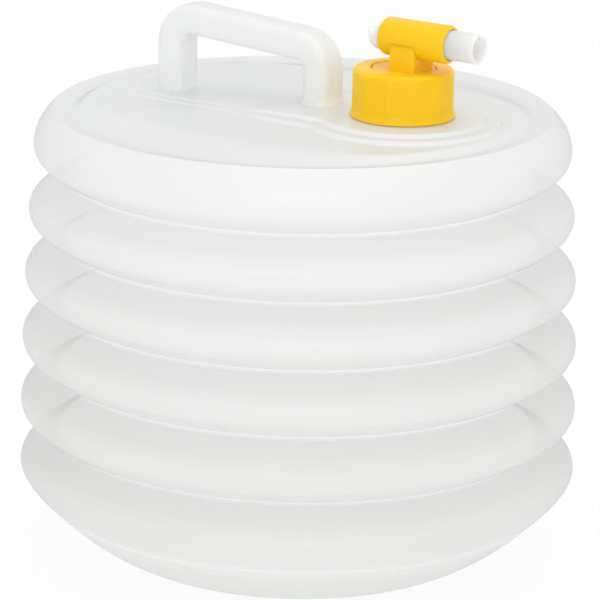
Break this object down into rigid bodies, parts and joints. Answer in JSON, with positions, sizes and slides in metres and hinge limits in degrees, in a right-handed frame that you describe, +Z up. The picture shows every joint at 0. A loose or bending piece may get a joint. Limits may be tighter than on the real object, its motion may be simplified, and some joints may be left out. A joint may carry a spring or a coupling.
{
  "type": "collapsible water container",
  "caption": "Collapsible milky plastic water container with concertina folds, a moulded carry handle and a yellow screw collar holding a push tap with a white spout.",
  "frame": {"origin": "centre of the foot on the surface it stands on", "axes": "+Z up; the handle and the neck lie along X, with the neck and the spout at +X"},
  "size_m": [0.275, 0.275, 0.2764],
  "materials": {
    "bag_plastic": "milky see-through polyethylene, satin",
    "tap_plastic": "semi-gloss yellow moulding",
    "spout_plastic": "semi-gloss natural white tube",
    "seal_rubber": "soft matt seals"
  },
  "bodies": {
    "base": {"base_shell": "bag_plastic", "fold_1": "bag_plastic"},
    "ring_1": {"fold_2": "bag_plastic"},
    "ring_2": {"fold_3": "bag_plastic"},
    "ring_3": {"fold_4": "bag_plastic"},
    "ring_4": {"fold_5": "bag_plastic"},
    "top": {"top_shell": "bag_plastic", "neck": "bag_plastic", "handle": "bag_plastic"},
    "gasket": {"neck_gasket": "seal_rubber"},
    "collar": {"screw_collar": "tap_plastic"},
    "tap": {"tap_body": "tap_plastic"},
    "spout": {"spout_tube": "spout_plastic", "spout_seal_rear": "seal_rubber", "spout_seal_middle": "seal_rubber", "spout_seal_front": "seal_rubber"}
  },
  "joints": [
    {"name": "fold_1_close", "type": "slide", "parent": "base", "child": "ring_1", "axis": [0, 0, -1], "range_m": [0, 0.0262], "deforming": ["fold_1"]},
    {"name": "fold_2_close", "type": "slide", "parent": "ring_1", "child": "ring_2", "axis": [0, 0, -1], "range_m": [0, 0.0262], "deforming": ["fold_2"]},
    {"name": "fold_3_close", "type": "slide", "parent": "ring_2", "child": "ring_3", "axis": [0, 0, -1], "range_m": [0, 0.0262], "deforming": ["fold_3"]},
    {"name": "fold_4_close", "type": "slide", "parent": "ring_3", "child": "ring_4", "axis": [0, 0, -1], "range_m": [0, 0.0262], "deforming": ["fold_4"]},
    {"name": "fold_5_close", "type": "slide", "parent": "ring_4", "child": "top", "axis": [0, 0, -1], "range_m": [0, 0.0262], "deforming": ["fold_5"]},
    {"name": "collar_lift", "type": "slide", "parent": "top", "child": "gasket", "axis": [0, 0, 1], "range_m": [0, 0.009]},
    {"name": "collar_turn", "type": "hinge", "parent": "gasket", "child": "collar", "pos_m": [0.057, 0, 0.2296], "axis": [0, 0, 1], "range_deg": [0, 720]},
    {"name": "tap_swivel", "type": "hinge", "parent": "gasket", "child": "tap", "pos_m": [0.057, 0, 0.2481], "axis": [0, 0, 1], "range_deg": [-150, 150]},
    {"name": "spout_push", "type": "slide", "parent": "tap", "child": "spout", "axis": [1, 0, 0], "range_m": [0, 0.008]}
  ],
  "couplings": [
    {"joint": "fold_2_close", "follows": "fold_1_close", "ratio": 1},
    {"joint": "fold_3_close", "follows": "fold_1_close", "ratio": 1},
    {"joint": "fold_4_close", "follows": "fold_1_close", "ratio": 1},
    {"joint": "fold_5_close", "follows": "fold_1_close", "ratio": 1},
    {"joint": "collar_turn", "follows": "collar_lift", "rad_per_m": 1396.3}
  ]
}
